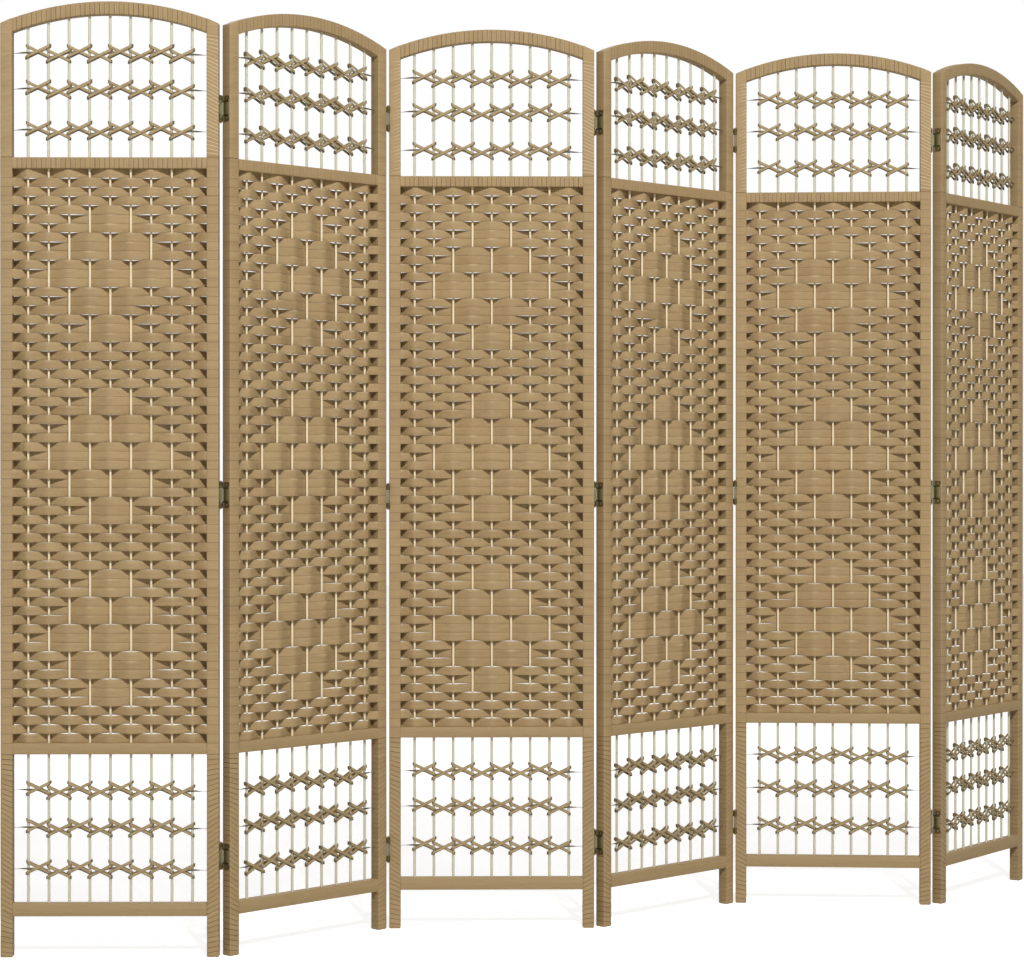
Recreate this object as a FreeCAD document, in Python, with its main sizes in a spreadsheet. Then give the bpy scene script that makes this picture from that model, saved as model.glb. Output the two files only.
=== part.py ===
import FreeCAD, Part
import math
import os
import Sketcher

# Folding screen: six arched panels in a zigzag, joined by hinges at their edges.
# Each panel has two posts, an arched rail, three cross rails, upright rods,
# a woven infill and two openings with rows of small crossed slats.
# The frame: X runs along the row, Y to the back, Z up, origin on the floor under
# the middle of the row.

PANELS = ["first", "second", "third", "fourth", "fifth", "sixth"]
JOINTS = ["first", "second", "third", "fourth", "fifth"]

# Driving sizes in millimetres
SIZES = [
    # panel frame
    ("panel_width", 388.0),
    ("panel_height", 1700.0),
    ("panel_depth", 21.0),
    ("post_width", 21.5),
    ("foot_chamfer", 1.5),
    ("arch_rise", 38.3),
    ("arch_band", 23.0),
    # cross rails: the woven field fills what is left between the two openings
    ("leg_height", 73.0),
    ("bottom_rail_height", 23.0),
    ("low_opening_height", 265.0),
    ("rail_height", 20.0),
    ("high_opening_height", 222.5),
    # rods and woven infill: the rods are spread evenly between the two outer ones
    ("rod_inset", 26.5),
    ("rod_width", 4.6),
    ("weave_depth", 8.6),
    ("weave_waist", 2.4),
    # crossed slats: each reaches a little past the two rods that it crosses
    ("slat_overhang", 3.2),
    ("slat_rise", 17.8),
    ("slat_width", 5.6),
    ("slat_depth", 2.0),
    # hinges
    ("hinge_height", 46.0),
    ("joint_gap", 2.4),
    ("knuckle_radius", 3.0),
    ("knuckle_play", 0.1),
    ("pin_radius", 1.5),
    ("pin_clearance", 0.05),
    ("knuckle_gap", 0.4),
    ("middle_knuckle", 22.0),
    ("leaf_depth", 17.0),
    ("leaf_thickness", 0.9),
]

# Each joint's low hinge up from the floor and its high one down from the arch's top:
# they are fitted by hand, so they differ a little from joint to joint
HINGE_HEIGHTS = [
    ("first_hinge_from_floor", 177.0),
    ("first_hinge_from_top", 188.0),
    ("second_hinge_from_floor", 150.0),
    ("second_hinge_from_top", 169.5),
    ("third_hinge_from_floor", 160.0),
    ("third_hinge_from_top", 173.0),
    ("fourth_hinge_from_floor", 162.5),
    ("fourth_hinge_from_top", 173.0),
    ("fifth_hinge_from_floor", 163.5),
    ("fifth_hinge_from_top", 172.5),
]

# How far each joint is folded from a straight row, in degrees
FOLD_ANGLES = [
    ("first_fold_angle", 46.3),
    ("second_fold_angle", 45.9),
    ("third_fold_angle", 45.2),
    ("fourth_fold_angle", 49.8),
    ("fifth_fold_angle", 58.4),
]

# Places as shares: the rows of crosses of their opening's height at the posts, the
# middle hinge of the way from the low to the high one, a low cross's drop of its rise
PLACE_SHARES = [
    ("high_row_one_share", 0.2346),
    ("high_row_two_share", 0.5631),
    ("high_row_three_share", 0.8490),
    ("low_row_one_share", 0.2392),
    ("low_row_two_share", 0.5185),
    ("low_row_three_share", 0.7706),
    ("middle_hinge_share", 0.4835),
    ("cross_drop_share", 0.427),
]

ROD_COUNT = 9
ROD_SIDES = 6
KNUCKLE_SIDES = 6
CROSSES = ROD_COUNT - 1

doc = FreeCAD.newDocument("folding_screen")
sheet = doc.addObject("Spreadsheet::Sheet", "Sizes")
for row, (alias, value) in enumerate(
    SIZES + HINGE_HEIGHTS + FOLD_ANGLES + PLACE_SHARES, start=1,
):
    sheet.set(f"A{row}", alias)
    sheet.set(f"B{row}", str(value))
    sheet.setAlias(f"B{row}", alias)
doc.recompute()

subparts = []

# Heights that follow from the driving sizes, as expressions for the pieces
ARCH_RADIUS = "((Sizes.panel_width / 2)^2 + Sizes.arch_rise^2) / (2 * Sizes.arch_rise)"
ARCH_CENTRE = f"(Sizes.panel_height - {ARCH_RADIUS})"
ARCH_INNER = f"({ARCH_RADIUS} - Sizes.arch_band)"
INNER_WIDTH = "(Sizes.panel_width - 2 * Sizes.post_width)"
ARCH_SPRING = f"({ARCH_CENTRE} + sqrt({ARCH_INNER}^2 - ({INNER_WIDTH} / 2)^2))"
LOW_OPENING = "(Sizes.leg_height + Sizes.bottom_rail_height)"
LOW_RAIL = f"({LOW_OPENING} + Sizes.low_opening_height)"
WOVEN = f"({LOW_RAIL} + Sizes.rail_height)"
HIGH_OPENING = f"({ARCH_SPRING} - Sizes.high_opening_height)"
HIGH_RAIL = f"({HIGH_OPENING} - Sizes.rail_height)"
WOVEN_HEIGHT = f"({HIGH_RAIL} - {WOVEN})"
FIRST_ROD = "(Sizes.post_width + Sizes.rod_inset)"
ROD_PITCH = f"(({INNER_WIDTH} - 2 * Sizes.rod_inset) / {CROSSES})"
ROD_RADIUS = "(Sizes.rod_width / 2 / cos(30))"


def size(name):
    # A driving size, read from the sheet
    return float(getattr(sheet, name))


def worked_out(expression):
    # A size that follows from the driving ones
    return float(sheet.evalExpression(expression))


def bind(piece, **expressions):
    for target, expression in expressions.items():
        piece.setExpression(target.replace("__", "."), expression)
    return piece


def add(kind, name, **expressions):
    piece = doc.addObject(kind, name)
    return bind(piece, **expressions)


def box(name, length, width, height, x="0", y="0", z="0"):
    return add(
        "Part::Box", name, Length=length, Width=width, Height=height,
        Placement__Base__x=x, Placement__Base__y=y, Placement__Base__z=z,
    )


def prism(name, sides, radius, height, x="0", y="0", z="0"):
    # An upright bar with flat sides
    bar = doc.addObject("Part::Prism", name)
    bar.Polygon = sides
    return bind(
        bar, Circumradius=radius, Height=height,
        Placement__Base__x=x, Placement__Base__y=y, Placement__Base__z=z,
    )


def gather(name, pieces):
    group = doc.addObject("Part::Compound", name)
    group.Links = pieces
    return group


def keep(piece, label, placement):
    # A finished sub-part with the name of its node, put on its panel
    piece.Label = label
    piece.Placement = placement
    subparts.append(piece)


def outline(sketch, corners):
    # A closed ring of lines, each corner's place bound to the sheet
    places = [(sheet.evalExpression(x), sheet.evalExpression(y)) for x, y in corners]
    points = [FreeCAD.Vector(float(x), float(y), 0) for x, y in places]
    count = len(points)
    for i in range(count):
        sketch.addGeometry(Part.LineSegment(points[i], points[(i + 1) % count]), False)
    for i in range(count):
        sketch.addConstraint(Sketcher.Constraint("Coincident", i, 2, (i + 1) % count, 1))
    for i, (x, y) in enumerate(corners):
        hold(sketch, i, "DistanceX", x, points[i].x)
        hold(sketch, i, "DistanceY", y, points[i].y)


def hold(sketch, line, kind, expression, value):
    # Axis -2 is the upright one and -1 the level one, which also starts at the origin
    if expression == "0":
        axis = -2 if kind == "DistanceX" else -1
        sketch.addConstraint(Sketcher.Constraint("PointOnObject", line, 1, axis))
        return
    index = sketch.addConstraint(Sketcher.Constraint(kind, -1, 1, line, 1, value))
    sketch.setExpression(f"Constraints[{index}]", expression)


def rectangle(sketch, left, front, width, depth):
    right = f"{left} + {width}"
    back = f"{front} + {depth}"
    outline(sketch, [(left, front), (right, front), (right, back), (left, back)])


def sketch_on_floor(body, name, lift="0"):
    sketch = body.newObject("Sketcher::SketchObject", name)
    plane = [f for f in body.Origin.OriginFeatures if f.Role == "XY_Plane"][0]
    sketch.AttachmentSupport = [(plane, "")]
    sketch.MapMode = "FlatFace"
    bind(sketch, AttachmentOffset__Base__z=lift)
    return sketch


def pad(body, name, sketch, length):
    feature = body.newObject("PartDesign::Pad", name)
    feature.Profile = sketch
    bind(feature, Length=length)
    return feature


def post(name, left):
    # An upright post: its foot has its lower edges taken off, its top follows the arch
    body = doc.addObject("PartDesign::Body", name)
    section = sketch_on_floor(body, name + "_section")
    rectangle(section, left, "0", "Sizes.post_width", "Sizes.panel_depth")
    bar = pad(body, name + "_bar", section, "Sizes.panel_height")
    doc.recompute()
    floor = [
        f"Edge{i}"
        for i, edge in enumerate(bar.Shape.Edges, start=1)
        if abs(edge.BoundBox.ZMax) < size("foot_chamfer")
    ]
    foot = body.newObject("PartDesign::Chamfer", name + "_foot")
    foot.Base = (bar, floor)
    bind(foot, Size="Sizes.foot_chamfer")
    body.Tip = foot
    above = doc.addObject("Part::Cut", name + "_above")
    above.Base = box(
        name + "_top", "Sizes.post_width", "Sizes.panel_depth",
        f"Sizes.panel_height - {ARCH_SPRING} + Sizes.arch_band", x=left, z=ARCH_SPRING,
    )
    above.Tool = arch_cylinder(name + "_crown", ARCH_RADIUS)
    trimmed = doc.addObject("Part::Cut", name + "_trimmed")
    trimmed.Base = body
    trimmed.Tool = above
    return trimmed


def arch_cylinder(name, radius):
    disc = doc.addObject("Part::Cylinder", name)
    across = FreeCAD.Rotation(FreeCAD.Vector(1, 0, 0), -90)
    disc.Placement = FreeCAD.Placement(FreeCAD.Vector(), across)
    return bind(
        disc, Radius=radius, Height="Sizes.panel_depth",
        Placement__Base__x="Sizes.panel_width / 2", Placement__Base__z=ARCH_CENTRE,
    )


def arch_rail(name):
    # A ring's top, cut off upright where it meets the two posts
    ring = doc.addObject("Part::Cut", name + "_ring")
    ring.Base = arch_cylinder(name + "_outside", ARCH_RADIUS)
    ring.Tool = arch_cylinder(name + "_inside", ARCH_INNER)
    span = box(
        name + "_span", INNER_WIDTH, "Sizes.panel_depth",
        f"Sizes.panel_height - {ARCH_SPRING} + Sizes.arch_band",
        x="Sizes.post_width", z=ARCH_SPRING,
    )
    arch = doc.addObject("Part::Common", name)
    arch.Base = ring
    arch.Tool = span
    return arch


def cross_rails(name):
    rails = []
    for part, height, lift in (
        ("bottom", "Sizes.bottom_rail_height", "Sizes.leg_height"),
        ("low", "Sizes.rail_height", LOW_RAIL),
        ("high", "Sizes.rail_height", HIGH_RAIL),
    ):
        rails.append(box(
            f"{name}_{part}", INNER_WIDTH, "Sizes.panel_depth", height,
            x="Sizes.post_width", z=lift,
        ))
    return gather(name, rails)


def rods(name):
    # Each upright shows twice: under the woven infill and above it, up to the arch
    bars = []
    for i in range(ROD_COUNT):
        x = f"{FIRST_ROD} + {i} * {ROD_PITCH}"
        y = "Sizes.panel_depth / 2"
        bars.append(prism(
            f"{name}_low_{i + 1}", ROD_SIDES, ROD_RADIUS,
            "Sizes.low_opening_height", x, y, LOW_OPENING,
        ))
        reach = f"({abs(i - CROSSES / 2)} * {ROD_PITCH} + {ROD_RADIUS})"
        top = f"{ARCH_CENTRE} + sqrt({ARCH_INNER}^2 - {reach}^2)"
        bars.append(prism(
            f"{name}_high_{i + 1}", ROD_SIDES, ROD_RADIUS,
            f"{top} - {HIGH_OPENING}", x, y, HIGH_OPENING,
        ))
    return gather(name, bars)


def woven_infill(name):
    # The bands swell over each rod and close up halfway between two rods
    body = doc.addObject("PartDesign::Body", name)
    middle = "Sizes.panel_depth / 2"
    flat = sketch_on_floor(body, name + "_flat", WOVEN)
    rectangle(
        flat, "Sizes.post_width", f"{middle} - Sizes.weave_waist / 2",
        INNER_WIDTH, "Sizes.weave_waist",
    )
    pad(body, name + "_web", flat, WOVEN_HEIGHT)
    swell = sketch_on_floor(body, name + "_swell", WOVEN)
    left = f"{FIRST_ROD} - {ROD_PITCH} / 2"
    right = f"{FIRST_ROD} + {ROD_PITCH} / 2"
    outline(swell, [
        (left, f"{middle} - Sizes.weave_waist / 2"),
        (FIRST_ROD, f"{middle} - Sizes.weave_depth / 2"),
        (right, f"{middle} - Sizes.weave_waist / 2"),
        (right, f"{middle} + Sizes.weave_waist / 2"),
        (FIRST_ROD, f"{middle} + Sizes.weave_depth / 2"),
        (left, f"{middle} + Sizes.weave_waist / 2"),
    ])
    rib = pad(body, name + "_rib", swell, WOVEN_HEIGHT)
    doc.recompute()
    ribs = body.newObject("PartDesign::LinearPattern", name + "_ribs")
    ribs.Originals = [rib]
    ribs.Direction = (swell, ["H_Axis"])
    bind(ribs, Length=f"{CROSSES} * {ROD_PITCH}")
    ribs.Occurrences = ROD_COUNT
    body.Tip = ribs
    return body


def slat(rises_right, behind):
    # One short slat laid flat against the rods, around its own middle
    reach = worked_out(ROD_PITCH) + 2 * size("slat_overhang")
    length = math.hypot(reach, size("slat_rise"))
    depth = size("slat_depth")
    width = size("slat_width")
    side = size("rod_width") / 2
    front = size("panel_depth") / 2 + (side if behind else -side - depth)
    bar = Part.makeBox(length, depth, width, FreeCAD.Vector(-length / 2, front, -width / 2))
    tilt = math.degrees(math.atan2(size("slat_rise"), reach))
    bar.rotate(FreeCAD.Vector(), FreeCAD.Vector(0, 1, 0), -tilt if rises_right else tilt)
    return bar


def lattice(name, opening, height, rows, mirrored):
    # Crosses stand between neighbouring rods, every other one a little lower
    piece = doc.addObject("Part::Feature", name)
    floor = worked_out(opening)
    first = worked_out(FIRST_ROD)
    pitch = worked_out(ROD_PITCH)
    drop = size("slat_rise") * size("cross_drop_share")
    front = slat(not mirrored, False)
    back = slat(mirrored, True)
    slats = []
    for row in rows:
        centre = floor + size(row + "_share") * size(height)
        for i in range(CROSSES):
            low = i % 2 == (0 if mirrored else 1)
            middle = FreeCAD.Vector(
                first + (i + 0.5) * pitch, 0, centre - drop if low else centre,
            )
            slats.append(front.translated(middle))
            slats.append(back.translated(middle))
    piece.Shape = Part.makeCompound(slats)
    return piece


def leaf_box(name, side, inward, near, far, low, height):
    # A plate on one panel's edge: side is the panel's, inward is from the pin to its body
    x = "-Sizes.joint_gap / 2" if side < 0 else "Sizes.joint_gap / 2 - Sizes.leaf_thickness"
    y = f"-({far})" if inward < 0 else near
    return box(name, "Sizes.leaf_thickness", f"{far} - ({near})", height, x, y, low)


END_KNUCKLE = "((Sizes.hinge_height - Sizes.middle_knuckle) / 2 - Sizes.knuckle_gap)"
LEAF_NEAR = "Sizes.knuckle_radius + Sizes.knuckle_gap"
PIN_OFFSET = "(Sizes.knuckle_radius + Sizes.knuckle_play)"
LEAF_FAR = f"({PIN_OFFSET} + Sizes.leaf_depth)"


def hinge_leaf(name, side, inward, middle, pinned):
    # The left leaf carries the outer knuckles and the pin, the right one the middle knuckle
    low = f"{middle} - Sizes.hinge_height / 2"
    plate = leaf_box(
        name + "_plate", side, inward, LEAF_NEAR, LEAF_FAR, low, "Sizes.hinge_height",
    )
    if pinned:
        top = f"{middle} + Sizes.hinge_height / 2 - {END_KNUCKLE}"
        stretches = [("_low", low, END_KNUCKLE), ("_top", top, END_KNUCKLE)]
    else:
        start = f"{middle} - Sizes.middle_knuckle / 2"
        stretches = [("_middle", start, "Sizes.middle_knuckle")]
    pieces = [plate]
    for part, start, height in stretches:
        pieces.append(leaf_box(
            name + part + "_tongue", side, inward, "0", LEAF_NEAR, start, height,
        ))
        pieces.append(prism(
            name + part + "_knuckle", KNUCKLE_SIDES, "Sizes.knuckle_radius", height, z=start,
        ))
    if pinned:
        pieces.append(prism(
            name + "_pin", KNUCKLE_SIDES, "Sizes.pin_radius", "Sizes.hinge_height", z=low,
        ))
    whole = doc.addObject("Part::MultiFuse", name)
    whole.Shapes = pieces
    whole.Refine = True
    if pinned:
        return whole
    bored = doc.addObject("Part::Cut", name + "_bored")
    bored.Base = whole
    bored.Tool = prism(
        name + "_bore", KNUCKLE_SIDES,
        f"(Sizes.pin_radius + Sizes.pin_clearance) / cos(180 / {KNUCKLE_SIDES})",
        "Sizes.middle_knuckle", z=f"{middle} - Sizes.middle_knuckle / 2",
    )
    return bored


def hinge_leaves(name, joint, side, inward, pinned):
    low = f"Sizes.{joint}_hinge_from_floor"
    high = f"(Sizes.panel_height - Sizes.{joint}_hinge_from_top)"
    middle = f"({low} + ({high} - {low}) * Sizes.middle_hinge_share)"
    leaves = [
        hinge_leaf(f"{name}_{part}", side, inward, centre, pinned)
        for part, centre in (("low", low), ("middle", middle), ("high", high))
    ]
    return gather(name, leaves)


def pin_place(ridge, at_left_end):
    # A hinge's pin in the panel's own frame, behind it on a ridge and before it in a valley
    x = -size("joint_gap") / 2
    if not at_left_end:
        x = size("panel_width") - x
    offset = worked_out(PIN_OFFSET)
    y = size("panel_depth") + offset if ridge else -offset
    return FreeCAD.Vector(x, y, 0)


def turned(angle):
    return FreeCAD.Rotation(FreeCAD.Vector(0, 0, 1), angle)


def zigzag():
    # Where each panel stands, chained from pin to pin, then squared up along X
    places = [FreeCAD.Placement()]
    heading = 0.0
    for i, joint in enumerate(JOINTS):
        ridge = i % 2 == 0
        fold = size(joint + "_fold_angle")
        heading += fold if ridge else -fold
        pin = places[-1].multVec(pin_place(ridge, False))
        turn = turned(heading)
        places.append(FreeCAD.Placement(pin - turn.multVec(pin_place(ridge, True)), turn))
    end = places[-1].multVec(FreeCAD.Vector(size("panel_width"), 0, 0))
    square = FreeCAD.Placement(FreeCAD.Vector(), turned(-math.degrees(math.atan2(end.y, end.x))))
    places = [square.multiply(place) for place in places]
    corners = [
        place.multVec(FreeCAD.Vector(x, y, 0))
        for place in places
        for x in (0, size("panel_width"))
        for y in (0, size("panel_depth"))
    ]
    middle_x = (min(c.x for c in corners) + max(c.x for c in corners)) / 2
    middle_y = (min(c.y for c in corners) + max(c.y for c in corners)) / 2
    shift = FreeCAD.Placement(FreeCAD.Vector(-middle_x, -middle_y, 0), turned(0))
    return [shift.multiply(place) for place in places]


def panel(name, place, mirrored):
    keep(post(name + "_left", "0"), f"{name}_panel_left_post", place)
    right = "Sizes.panel_width - Sizes.post_width"
    keep(post(name + "_right", right), f"{name}_panel_right_post", place)
    keep(arch_rail(name + "_arch"), f"{name}_panel_arched_rail", place)
    keep(cross_rails(name + "_rails"), f"{name}_panel_cross_rails", place)
    keep(rods(name + "_rods"), f"{name}_panel_rods", place)
    keep(woven_infill(name + "_weave"), f"{name}_panel_woven_infill", place)
    high = lattice(
        name + "_high_lattice", HIGH_OPENING, "high_opening_height",
        ("high_row_one", "high_row_two", "high_row_three"), mirrored,
    )
    keep(high, f"{name}_panel_upper_lattice", place)
    low = lattice(
        name + "_low_lattice", LOW_OPENING, "low_opening_height",
        ("low_row_one", "low_row_two", "low_row_three"), mirrored,
    )
    keep(low, f"{name}_panel_lower_lattice", place)


places = zigzag()
for i, name in enumerate(PANELS):
    panel(name, places[i], i % 2 == 1)

for i, name in enumerate(JOINTS):
    ridge = i % 2 == 0
    inward = -1 if ridge else 1
    pin = places[i].multVec(pin_place(ridge, False))
    for side, place, kind in ((-1, places[i], "pinned"), (1, places[i + 1], "bored")):
        leaves = hinge_leaves(f"{name}_hinge_{kind}", name, side, inward, kind == "pinned")
        keep(leaves, f"{name}_joint_{kind}_leaves", FreeCAD.Placement(pin, place.Rotation))
    print(f"pin {name} {pin.x:.6f} {pin.y:.6f}")

for name, place in zip(PANELS, places):
    along = place.Rotation.multVec(FreeCAD.Vector(1, 0, 0))
    heading = math.degrees(math.atan2(along.y, along.x))
    print(f"panel {name} {place.Base.x:.6f} {place.Base.y:.6f} {heading:.6f}")

doc.recompute()

for item in doc.Objects:
    if "Invalid" in item.State or "Error" in item.State:
        raise RuntimeError(f"{item.Name} failed: {item.State}")
for item in subparts:
    if item.Shape.isNull() or not item.Shape.isValid():
        raise RuntimeError(f"{item.Label} has no valid shape")

os.makedirs("parts", exist_ok=True)
for item in subparts:
    item.Shape.exportStep(f"parts/{item.Label}.step")
print(len(subparts), "sub-parts written")
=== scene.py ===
import math
import random

import bmesh
import bpy
from mathutils import Matrix, Vector


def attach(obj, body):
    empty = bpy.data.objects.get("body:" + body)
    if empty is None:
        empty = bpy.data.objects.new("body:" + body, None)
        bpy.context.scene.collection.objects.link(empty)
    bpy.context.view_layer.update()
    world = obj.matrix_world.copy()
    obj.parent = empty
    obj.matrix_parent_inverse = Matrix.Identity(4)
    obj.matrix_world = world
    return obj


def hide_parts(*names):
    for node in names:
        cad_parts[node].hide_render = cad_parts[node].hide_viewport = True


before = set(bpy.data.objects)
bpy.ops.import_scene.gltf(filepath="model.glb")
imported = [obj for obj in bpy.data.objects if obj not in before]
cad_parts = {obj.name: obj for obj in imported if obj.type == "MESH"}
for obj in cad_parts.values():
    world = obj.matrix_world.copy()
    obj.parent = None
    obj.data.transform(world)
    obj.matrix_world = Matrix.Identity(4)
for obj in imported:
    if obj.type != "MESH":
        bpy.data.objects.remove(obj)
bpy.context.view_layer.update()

MM = 0.001
PANELS = ["first", "second", "third", "fourth", "fifth", "sixth"]
JOINTS = PANELS[:-1]

# Where each panel's front left foot stands (mm) and which way the panel runs (degrees)
PANEL_PLACES = [
    (-1091.978671, 89.169689, -23.689829),
    (-715.518765, -66.922306, 22.610171),
    (-352.712175, 82.220415, -23.289829),
    (24.409495, -71.437665, 21.910171),
    (389.165077, 73.095796, -27.889829),
    (757.701518, -107.814537, 30.510171),
]

# Seeds of the random draws
LEFT_POST_SEED = 11
RIGHT_POST_SEED = 12
ARCH_SEED = 3
UPPER_RAIL_SEED = 4
ROD_SEED = 5
WEAVE_SEED = 21
GLEAM_SEED = 23
LATTICE_SEED = 31

# Sizes of one panel in its own frame, in mm: x along it, y to its back, z up
WIDTH = 388.0
HEIGHT = 1700.0
DEPTH = 21.0
MIDDLE = DEPTH / 2
POST = 21.5
ARCH_RISE = 38.3
ARCH_BAND = 23.0
LEG = 73.0
BOTTOM_RAIL = 23.0
LOW_OPENING = LEG + BOTTOM_RAIL
LOW_RAIL = 361.0
RAIL = 20.0
WOVEN = LOW_RAIL + RAIL
ARCH_RADIUS = ((WIDTH / 2) ** 2 + ARCH_RISE ** 2) / (2 * ARCH_RISE)
ARCH_CENTRE = HEIGHT - ARCH_RADIUS
ARCH_SPRING = ARCH_CENTRE + math.sqrt((ARCH_RADIUS - ARCH_BAND) ** 2 - (WIDTH / 2 - POST) ** 2)
HIGH_OPENING_HEIGHT = 222.5
HIGH_OPENING = ARCH_SPRING - HIGH_OPENING_HEIGHT
HIGH_RAIL = HIGH_OPENING - RAIL
RODS = 9
ROD_INSET = 26.5
ROD_RADIUS = 2.5
WOVEN_ROD_RADIUS = 2.05
FIRST_ROD = POST + ROD_INSET
PITCH = (WIDTH - 2 * FIRST_ROD) / (RODS - 1)
ROWS = 63
ROW = (HIGH_RAIL - WOVEN) / ROWS

# Hinges: each joint's low one from the floor and high one from the top, in mm. The
# middle one is at a share of the way from the low one to the high one.
HINGE_PLACES = [(177.0, 188.0), (150.0, 169.5), (160.0, 173.0), (162.5, 173.0), (163.5, 172.5)]
MIDDLE_HINGE = 0.4835
HINGE_HEIGHT = 46.0
JOINT_GAP = 2.4
PIN_OFFSET = 3.1


def panel_matrix(index):
    x, y, heading = PANEL_PLACES[index]
    turn = Matrix.Rotation(math.radians(heading), 4, "Z")
    return Matrix.Translation((x * MM, y * MM, 0)) @ turn


def rod_x(index):
    return FIRST_ROD + index * PITCH


# Shader helpers

def srgb(red, green, blue):
    # A colour as written from 0 to 255, turned to the linear values that shaders take
    channels = []
    for value in (red, green, blue):
        share = value / 255
        if share <= 0.04045:
            channels.append(share / 12.92)
        else:
            channels.append(((share + 0.055) / 1.055) ** 2.4)
    return (*channels, 1.0)


class Shader:
    # A material whose nodes are added and joined by name
    def __init__(self, name, roughness, specular):
        self.material = bpy.data.materials.new(name)
        self.material.use_nodes = True
        self.tree = self.material.node_tree
        self.surface = self.tree.nodes["Principled BSDF"]
        self.surface.inputs["Roughness"].default_value = roughness
        self.surface.inputs["Specular IOR Level"].default_value = specular
        self.place = self.add("ShaderNodeTexCoord").outputs["Object"]

    def add(self, kind, **settings):
        node = self.tree.nodes.new(kind)
        for name, value in settings.items():
            setattr(node, name, value)
        return node

    def link(self, source, target):
        self.tree.links.new(source, target)

    def stretched(self, scale):
        # Object coordinates stretched along one axis or another
        node = self.add("ShaderNodeMapping")
        node.inputs["Scale"].default_value = scale
        self.link(self.place, node.inputs["Vector"])
        return node.outputs["Vector"]

    def noise(self, scale, stretch=(1, 1, 1), detail=3.0, roughness=0.55):
        node = self.add("ShaderNodeTexNoise")
        node.inputs["Scale"].default_value = scale
        node.inputs["Detail"].default_value = detail
        node.inputs["Roughness"].default_value = roughness
        self.link(self.stretched(stretch), node.inputs["Vector"])
        return node.outputs["Fac"]

    def attribute(self, name):
        return self.add("ShaderNodeAttribute", attribute_name=name).outputs["Fac"]

    def ramp(self, factor, stops):
        node = self.add("ShaderNodeValToRGB")
        ramp = node.color_ramp
        while len(ramp.elements) < len(stops):
            ramp.elements.new(0.5)
        for element, (position, color) in zip(ramp.elements, stops):
            element.position = position
            element.color = color
        self.link(factor, node.inputs["Fac"])
        return node.outputs["Color"]

    def mix(self, factor, first, second, kind="MIX"):
        node = self.add("ShaderNodeMix", data_type="RGBA", blend_type=kind)
        for socket, value in ((0, factor), (6, first), (7, second)):
            if isinstance(value, (int, float, tuple)):
                node.inputs[socket].default_value = value
            else:
                self.link(value, node.inputs[socket])
        return node.outputs[2]

    def math(self, operation, first, second):
        node = self.add("ShaderNodeMath", operation=operation)
        for socket, value in ((0, first), (1, second)):
            if isinstance(value, (int, float)):
                node.inputs[socket].default_value = value
            else:
                self.link(value, node.inputs[socket])
        return node.outputs["Value"]

    def bump(self, height, strength, distance):
        node = self.add("ShaderNodeBump")
        node.inputs["Strength"].default_value = strength
        node.inputs["Distance"].default_value = distance
        self.link(height, node.inputs["Height"])
        self.link(node.outputs["Normal"], self.surface.inputs["Normal"])

    def color(self, source):
        self.link(source, self.surface.inputs["Base Color"])


def fibre_material(name, base, dark, light, groove_color, stretch):
    # Flat plant fibre: fine strands along the strip, a tint for each strip, dark grooves
    # and painted shade, and pale lines painted as highlights where a strip's edge catches the
    # light
    shader = Shader(name, roughness=0.66, specular=0.22)
    strands = shader.noise(1300, stretch, detail=3.0)
    streaks = shader.noise(210, stretch, detail=3.0)
    patches = shader.noise(11, (1, 1, 1), detail=2.0)
    body = shader.ramp(streaks, [(0.25, dark), (0.5, base), (0.8, light)])
    body = shader.mix(shader.math("MULTIPLY", patches, 0.25), body, dark)
    fine = shader.ramp(strands, [(0.3, (0.9, 0.89, 0.87, 1)), (0.6, (1, 1, 1, 1))])
    body = shader.mix(1.0, body, fine, "MULTIPLY")
    tinted = shader.ramp(shader.attribute("tint"), [
        (0.0, (0.93, 0.915, 0.9, 1)), (0.5, (1, 1, 1, 1)), (1.0, (1.03, 1.035, 1.03, 1)),
    ])
    body = shader.mix(1.0, body, tinted, "MULTIPLY")
    body = shader.mix(shader.attribute("groove"), body, groove_color)
    shader.color(shader.mix(shader.attribute("shine"), body, srgb(250, 232, 196)))
    shader.bump(shader.math("ADD", strands, streaks), 0.3, 0.0004)
    return shader.material


def rod_material():
    # Peeled cane, pale and a little streaky along its length, painted paler as a highlight
    # inside the weave
    shader = Shader("peeled_cane", roughness=0.5, specular=0.3)
    streaks = shader.noise(900, (1, 1, 0.03), detail=3.0)
    bands = shader.noise(30, (0.2, 0.2, 1), detail=2.0)
    body = shader.ramp(streaks, [
        (0.25, srgb(216, 212, 184)),
        (0.5, srgb(224, 220, 194)),
        (0.8, srgb(230, 226, 202)),
    ])
    body = shader.mix(shader.math("MULTIPLY", bands, 0.35), body, srgb(214, 208, 178))
    # A painted highlight: where the tint is 1, inside the weave, the cane is paler
    shader.color(shader.mix(shader.attribute("tint"), body, srgb(250, 234, 200)))
    shader.bump(streaks, 0.3, 0.0003)
    return shader.material


def bronze_material():
    # Antique bronze: olive brown, dark in the grooves and with painted shade, grey green for its
    # painted highlights
    shader = Shader("antique_bronze", roughness=0.46, specular=0.5)
    shader.surface.inputs["Metallic"].default_value = 0.45
    patches = shader.noise(420, (1, 1, 1), detail=5.0)
    body = shader.ramp(patches, [
        (0.3, srgb(76, 64, 28)),
        (0.5, srgb(108, 95, 46)),
        (0.72, srgb(134, 122, 68)),
    ])
    body = shader.mix(shader.attribute("tint"), srgb(116, 92, 52), body)
    body = shader.mix(shader.attribute("shine"), body, srgb(206, 202, 174))
    shader.color(shader.mix(shader.attribute("groove"), body, srgb(26, 22, 12)))
    shader.bump(patches, 0.4, 0.0003)
    return shader.material


def tie_cane_material():
    # The tie that runs along a row of crosses: dull grey brown split cane
    shader = Shader("tie_cane", roughness=0.7, specular=0.2)
    grain = shader.noise(420, (0.1, 1, 1), detail=3.0)
    body = shader.ramp(grain, [(0.3, srgb(118, 104, 80)), (0.7, srgb(150, 134, 104))])
    shader.color(shader.mix(shader.attribute("groove"), body, srgb(84, 76, 66)))
    shader.bump(grain, 0.3, 0.0003)
    return shader.material


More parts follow.
